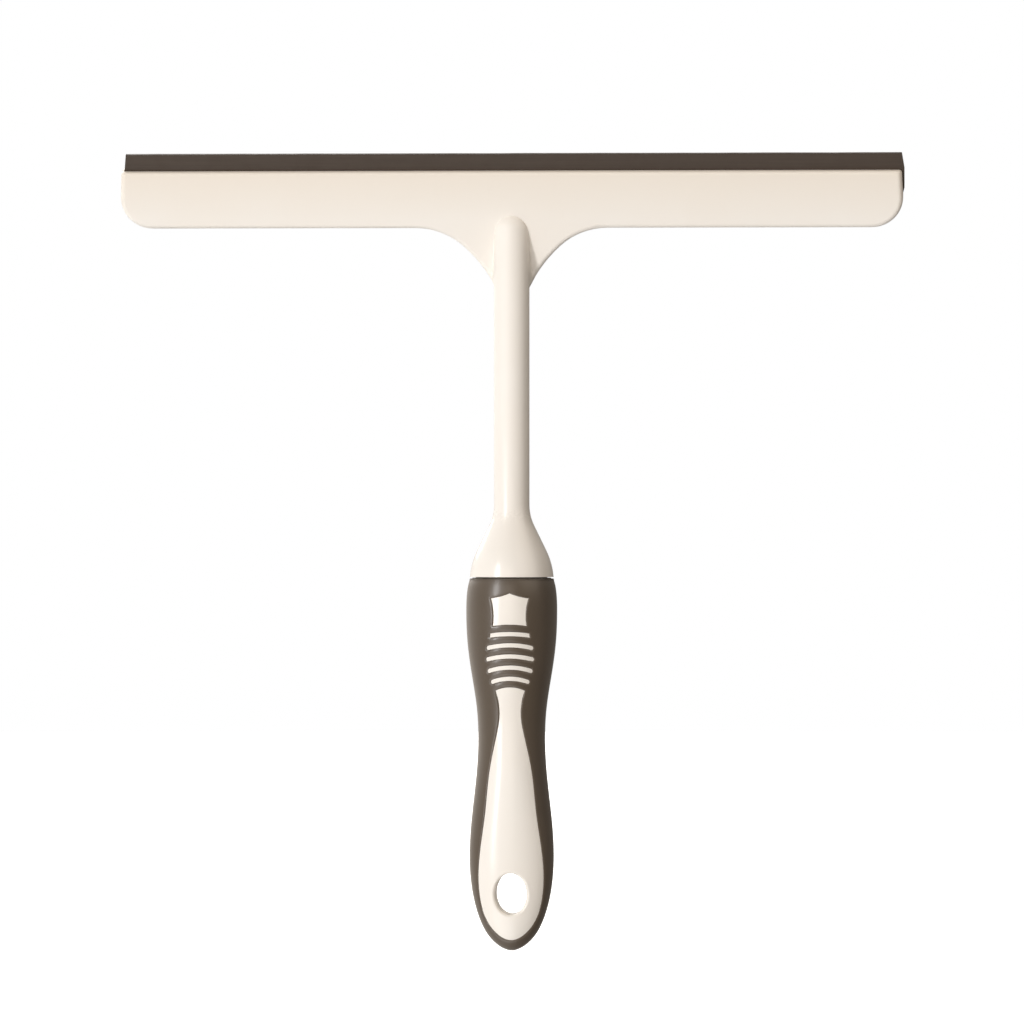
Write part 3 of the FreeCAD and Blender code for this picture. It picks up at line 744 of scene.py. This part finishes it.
def rounded(corners, radius, steps=4):
    """A closed (x, y) outline with each corner cut to a small arc."""
    points = []
    count = len(corners)
    for i in range(count):
        before, corner, after = (Vector(corners[j % count]) for j in (i - 1, i, i + 1))
        toward_before = (before - corner).normalized()
        toward_after = (after - corner).normalized()
        reach = min(radius, (before - corner).length / 2.5, (after - corner).length / 2.5)
        start, end = corner + toward_before * reach, corner + toward_after * reach
        for k in range(steps + 1):
            t = k / steps
            points.append(tuple((1 - t) ** 2 * start + 2 * t * (1 - t) * corner + t * t * end))
    return points


def sweep_tree():
    """Sweeps the seed outline along X between two ends, with a slight wave in its free edge, and leans it."""
    inputs = (("Left end", "Float", 0.0), ("Right end", "Float", 1.0), ("Slices", "Int", 2),
              ("Wave", "Float", 0.0), ("Wave length", "Float", 1.0), ("Lean", "Vector", None),
              ("Place", "Vector", None), ("Material", "Material", None))
    tree, given = new_shape_tree("swept_rubber_strip", inputs)
    left = add_node(tree, "ShaderNodeCombineXYZ", links={"X": given["Left end"]})
    right = add_node(tree, "ShaderNodeCombineXYZ", links={"X": given["Right end"]})
    ends = {"Start": left.outputs["Vector"], "End": right.outputs["Vector"]}
    line = add_node(tree, "GeometryNodeCurvePrimitiveLine", links=ends)
    sliced = {"Curve": line.outputs["Curve"], "Count": given["Slices"]}
    path = add_node(tree, "GeometryNodeResampleCurve", links=sliced)
    outline = add_node(tree, "GeometryNodeMeshToCurve", links={"Mesh": given["Geometry"]})
    parts = {"Curve": path.outputs["Curve"], "Profile Curve": outline.outputs["Curve"]}
    strip = add_node(tree, "GeometryNodeCurveToMesh", {"Fill Caps": True}, parts)
    spot = add_node(tree, "GeometryNodeInputPosition").outputs["Position"]
    split = add_node(tree, "ShaderNodeSeparateXYZ", links={"Vector": spot})
    share = calc(tree, "DIVIDE", split.outputs["X"], given["Wave length"])
    ripple = add_node(tree, "ShaderNodeTexNoise", {"Scale": 1.0, "Detail": 2.0}, {"W": share},
                      noise_dimensions="1D").outputs["Fac"]
    height = ramp(tree, split.outputs["Z"], BLADE_MOUTH * MM, BLADE_TIP * MM, 0.0, 1.0)
    risen = calc(tree, "MULTIPLY", calc(tree, "SUBTRACT", ripple, 0.5), height)
    moved = calc(tree, "MULTIPLY", risen, given["Wave"])
    offset = add_node(tree, "ShaderNodeCombineXYZ", links={"Y": moved, "Z": moved})
    waved = add_node(tree, "GeometryNodeSetPosition",
                     links={"Geometry": strip.outputs["Mesh"], "Offset": offset.outputs["Vector"]})
    put = {"Geometry": waved.outputs["Geometry"], "Rotation": given["Lean"], "Translation": given["Place"]}
    leaned = add_node(tree, "GeometryNodeTransform", links=put)
    end_tree(tree, leaned.outputs["Geometry"], given["Material"])
    return tree


def make_blade():
    """Rubber blade: bead, web and tapered lip, drawn as one strip, with its ends cut on a slant."""
    bead = [(BLADE_HALF_BEAD, BLADE_FOOT), (BLADE_HALF_BEAD, BLADE_SHOULDER)]
    web = [(BLADE_HALF_WEB, BLADE_SHOULDER), (BLADE_HALF_WEB, BLADE_MOUTH)]
    half = bead + web + [(BLADE_HALF_TIP, BLADE_TIP)]
    corners = [(-w, u) for w, u in half] + [(w, u) for w, u in reversed(half)]
    outline = [(-(HEAD_THICKNESS / 2 + w), -u) for w, u in rounded(corners, BLADE_EDGE_ROUND)]
    values = {"Left end": BLADE_ENDS[0] * MM, "Right end": BLADE_ENDS[1] * MM, "Slices": BLADE_SLICES,
              "Wave": BLADE_WAVE * MM, "Wave length": BLADE_WAVE_LENGTH * MM,
              "Lean": (math.radians(HEAD_LEAN), 0.0, 0.0),
              "Place": (0.0, -HEAD_FORWARD * MM, HEAD_PIVOT_Z * MM)}
    blade = grown("rubber_blade_strip", line_mesh("blade_outline", [(*p, 0) for p in outline], True),
                  sweep_tree(), values, "blade_rubber")
    upright = LEANED.inverted()
    for vertex in blade.data.vertices:
        spot = vertex.co / MM
        out = max(0.0, ((upright @ spot).z - BLADE_MOUTH) / (BLADE_TIP - BLADE_MOUTH))
        foot = max(0.0, (BLADE_SHOULDER - (upright @ spot).z) / (BLADE_SHOULDER - BLADE_FOOT))
        for end, slant, side in zip(BLADE_ENDS, BLADE_END_SLANTS, (1, -1)):
            if abs(spot.x - end) < BLADE_END_REACH:
                inward = slant * out ** BLADE_SLANT_CURVE + BLADE_FOOT_SLANT * foot
                vertex.co.x += side * inward * MM
    blade.data.shade_smooth()
    blade.data.set_sharp_from_angle(angle=math.radians(BLADE_SHARP_ANGLE))
    ride_along(blade, "blade", "blade_rubber", "rubber_blade")


def screw_mesh(length):
    """One countersunk self-tapping screw, head up on Z = 0: rounded rim, cross recess, thread and point."""
    form = bmesh.new()
    turns = [math.tau * i / SCREW_SIDES for i in range(SCREW_SIDES)]
    ring = [(math.sin(turn), math.cos(turn)) for turn in turns]
    neck_z = -SCREW_HEAD_H
    thread_top = neck_z - THREAD_START
    point_z = -length + POINT_LENGTH
    profile = [(SCREW_HEAD_R - inset, z) for inset, z in SCREW_RIM]
    profile += [(SCREW_SHANK_R, neck_z), (SCREW_SHANK_R - SHANK_TAPER, thread_top)]
    thread_rings = round((thread_top - point_z) / THREAD_PITCH * THREAD_STEPS)
    profile += [(SCREW_SHANK_R - THREAD_DEPTH, thread_top - THREAD_PITCH * i / THREAD_STEPS)
                for i in range(1, thread_rings + 1)]
    profile += [(SCREW_SHANK_R * POINT_SHARE, -length + POINT_BLUNT)]
    rows = []
    for radius, z in profile:
        corners = []
        for i, (x, y) in enumerate(ring):
            crest = 0.0
            if point_z < z < thread_top:
                phase = ((thread_top - z) / THREAD_PITCH + i / SCREW_SIDES) % 1.0
                crest = THREAD_DEPTH * max(0.0, 1 - abs(phase - 0.5) * THREAD_SHARPNESS)
            reach = radius + crest
            corners.append(form.verts.new((reach * x * MM, reach * y * MM, z * MM)))
        rows.append(corners)
    for above, below in zip(rows, rows[1:]):
        for i in range(SCREW_SIDES):
            form.faces.new((above[i], above[i - 1], below[i - 1], below[i]))
    tip = form.verts.new((0, 0, -length * MM))
    for i in range(SCREW_SIDES):
        form.faces.new((rows[-1][i], rows[-1][i - 1], tip))
    cross = []
    for quarter in range(4):
        a = quarter * math.pi / 2
        for x, y in ((RECESS_SLOT, RECESS_SLOT), (RECESS_SLOT, RECESS_R), (-RECESS_SLOT, RECESS_R)):
            cross.append((x * math.cos(a) - y * math.sin(a), x * math.sin(a) + y * math.cos(a)))
    levels = [[form.verts.new((x * size * MM, y * size * MM, z * MM)) for x, y in cross]
              for size, z in RECESS_LEVELS]
    count = len(cross)
    for above, below in zip(levels, levels[1:]):
        for i in range(count):
            form.faces.new((above[i], above[i - 1], below[i - 1], below[i]))
    form.faces.new(levels[-1])
    form.verts.ensure_lookup_table()
    rim_edges = [form.edges.get((rows[0][i], rows[0][i - 1])) for i in range(SCREW_SIDES)]
    cross_edges = [form.edges.get((levels[0][i], levels[0][i - 1])) for i in range(count)]
    bmesh.ops.triangle_fill(form, edges=rim_edges + cross_edges, use_beauty=True)
    bmesh.ops.recalc_face_normals(form, faces=form.faces)
    mesh = bpy.data.meshes.new("screw")
    form.to_mesh(mesh)
    form.free()
    mesh.shade_smooth()
    mesh.set_sharp_from_angle(angle=math.radians(SCREW_SHARP_ANGLE))
    return mesh


def fixing_tree():
    """Puts the screw on every seed point, tilted to face outwards and turned by chance about its axis."""
    inputs = (("Screw", "Object", None), ("Tilt", "Rotation", None), ("Seed", "Int", 0),
              ("Material", "Material", None))
    tree, given = new_shape_tree("screws_on_points", inputs)
    screw = add_node(tree, "GeometryNodeObjectInfo", links={"Object": given["Screw"]},
                     transform_space="ORIGINAL")
    parts = {"Points": given["Geometry"], "Instance": screw.outputs["Geometry"], "Rotation": given["Tilt"]}
    placed = add_node(tree, "GeometryNodeInstanceOnPoints", links=parts)
    chance = add_node(tree, "FunctionNodeRandomValue", links={"Seed": given["Seed"]}, data_type="FLOAT")
    floats = [s for s in chance.inputs if s.type == "VALUE" and s.enabled and s.name in ("Min", "Max")]
    floats[0].default_value, floats[1].default_value = 0.0, math.tau / 4
    spin = next(s for s in chance.outputs if s.type == "VALUE" and s.enabled)
    about = add_node(tree, "ShaderNodeCombineXYZ", links={"Z": spin})
    turn = add_node(tree, "FunctionNodeEulerToRotation", links={"Euler": about.outputs["Vector"]})
    turned = add_node(tree, "GeometryNodeRotateInstances", {"Local Space": True},
                      {"Instances": placed.outputs["Instances"], "Rotation": turn.outputs["Rotation"]})
    end_tree(tree, turned.outputs["Instances"], given["Material"])
    return tree


def make_screws():
    """Zinc plated screws: six through the rear cover and two through the tongue into the neck."""
    tree = fixing_tree()
    cover = [tuple(LEANED @ Vector((x, HEAD_THICKNESS, COVER_SCREW_UP))) for x in COVER_SCREW_X]
    neck = [(0.0, TONGUE_REAR_Y, z) for z in NECK_SCREW_Z]
    sets = (("cover", cover, HEAD_LEAN, "rear_cover_screws"), ("neck", neck, 0.0, "neck_screws"))
    for kind, places, lean, node in sets:
        screw = bpy.data.objects.new("one_screw", screw_mesh(SCREW_LENGTHS[kind]))
        values = {"Screw": screw, "Tilt": (math.radians(lean - 90), 0.0, 0.0), "Seed": SCREW_SEED}
        points = line_mesh("places", places, False)
        piece = grown(kind + "_screw_set", points, tree, values, "screw_steel")
        bpy.data.objects.remove(screw)
        ride_along(piece, BODY, "screw_steel", node)


# ---------------------------------------------------------------- studio

VIEW_CENTRE = Vector((0.1, 0, 146.2)) * MM
VIEW_WIDTH = 392.8 * MM
VIEW_DISTANCE = 3.0
VIEW_AZIMUTH = 3.0
FLOOR_Z = -22.4
FLOOR_RADIUS = 3.0
FLOOR_CORNERS = 96

# The world's light by direction: from and to along the axis, then the brightness at each.
WORLD_BEHIND = (-0.5, 0.4, 0.12, 1.0)
WORLD_LEFT = (0.4, -0.6, 0.12, 0.72)
WORLD_BELOW = (-0.1, -0.8, 0.0, 0.9)
WORLD_ABOVE = (0.1, 0.9, 0.0, 0.35)

# Softboxes: name, azimuth, elevation, distance, width and height, brightness, colour.
SOFTBOXES = (
    ("key_left", -38, 9, 4.0, (0.5, 2.4), 0.52, (0.985, 0.985, 0.99)),
    ("low_bounce", -28, -42, 3.0, (2.6, 2.6), 0.43, (1.0, 0.98, 0.955)),
    ("front_fill", -6, 8, 3.0, (1.6, 1.6), 0.12, (1.0, 0.9, 0.8)),
    ("warm_fill_right", 54, 32, 3.0, (2.6, 2.6), 0.27, (1.0, 0.88, 0.74)),
    ("back_soft", -150, 30, 3.0, (1.8, 1.8), 0.6, (1.0, 0.99, 0.97)),
)


def toward(azimuth, elevation):
    """Direction from the object to a place in the studio; azimuth 0 is in front and 90 on its +X side."""
    a, e = math.radians(azimuth), math.radians(elevation)
    return Vector((math.sin(a) * math.cos(e), -math.cos(a) * math.cos(e), math.sin(e)))


def aim(name, data, direction, distance):
    """Puts a lamp or a camera out along a direction, turned to the middle of the view."""
    gear = bpy.data.objects.new(name, data)
    gear.location = VIEW_CENTRE + direction * distance
    gear.rotation_euler = (-direction).to_track_quat("-Z", "Y").to_euler()
    bpy.context.scene.collection.objects.link(gear)
    return gear


def make_camera():
    data = bpy.data.cameras.new("camera")
    data.sensor_width = 36.0
    data.lens = data.sensor_width * VIEW_DISTANCE / VIEW_WIDTH
    data.clip_end = 50.0
    bpy.context.scene.camera = aim("camera", data, toward(VIEW_AZIMUTH, 0), VIEW_DISTANCE)


def make_softbox(name, azimuth, elevation, distance, size, brightness, colour):
    """Softbox, unseen by the camera, that makes a white surface facing it this bright."""
    data = bpy.data.lights.new(name, "AREA")
    data.shape = "RECTANGLE"
    data.size, data.size_y = size
    data.energy = brightness * math.pi ** 2 * distance ** 2
    data.color = colour
    lamp = aim(name, data, toward(azimuth, elevation), distance)
    lamp.visible_camera = False


def make_world():
    """White all round to the eye. As light it's brightest behind and below on the left, dim on the right,
    and has a little more from above."""
    world = bpy.data.worlds.new("studio_white")
    world.use_nodes = True
    tree = world.node_tree
    tree.nodes.clear()
    direction = add_node(tree, "ShaderNodeTexCoord").outputs["Generated"]
    split = add_node(tree, "ShaderNodeSeparateXYZ", links={"Vector": direction})
    behind = ramp(tree, split.outputs["Y"], *WORLD_BEHIND)
    left = ramp(tree, split.outputs["X"], *WORLD_LEFT)
    below = ramp(tree, split.outputs["Z"], *WORLD_BELOW)
    above = ramp(tree, split.outputs["Z"], *WORLD_ABOVE)
    share = calc(tree, "MULTIPLY", calc(tree, "MAXIMUM", behind, below), left)
    total = calc(tree, "ADD", share, above)
    light = add_node(tree, "ShaderNodeBackground", {"Color": srgb("#fffaf4")}, {"Strength": total})
    seen = add_node(tree, "ShaderNodeBackground", {"Color": srgb("#ffffff"), "Strength": 1.0})
    path = add_node(tree, "ShaderNodeLightPath")
    mix = add_node(tree, "ShaderNodeMixShader", links={"Fac": path.outputs["Is Camera Ray"]})
    tree.links.new(light.outputs["Background"], mix.inputs[1])
    tree.links.new(seen.outputs["Background"], mix.inputs[2])
    add_node(tree, "ShaderNodeOutputWorld", links={"Surface": mix.outputs["Shader"]})
    bpy.context.scene.world = world
    bpy.context.scene.view_settings.view_transform = "Standard"


def make_floor():
    """A plain pale round floor just under the tip. It glows, so it stays white, and it neither lights nor
    shades the squeegee."""
    turns = [math.tau * i / FLOOR_CORNERS for i in range(FLOOR_CORNERS)]
    corners = [(FLOOR_RADIUS * math.cos(t), FLOOR_RADIUS * math.sin(t), FLOOR_Z * MM) for t in turns]
    mesh = bpy.data.meshes.new("floor")
    mesh.from_pydata(corners, [], [range(FLOOR_CORNERS)])
    floor = bpy.data.objects.new("floor", mesh)
    bpy.context.scene.collection.objects.link(floor)
    material, tree = new_material("white_paper_matt")
    tone = two_tone(tree, noise(tree, 80), "#f4f3f1", "#f1f0ee")
    finish_surface(tree, {"Emission Strength": 0.75, "Emission Color": srgb("#ffffff")},
                   {"Base Color": tone, "Roughness": spread(tree, noise(tree, 20), 0.85, 0.95)})
    mesh.materials.append(material)
    floor.visible_diffuse = False
    floor.visible_glossy = False
    floor.visible_shadow = False


dress_cad_nodes()
make_grip()
make_blade()
make_screws()
make_camera()
make_world()
make_floor()
for softbox in SOFTBOXES:
    make_softbox(*softbox)
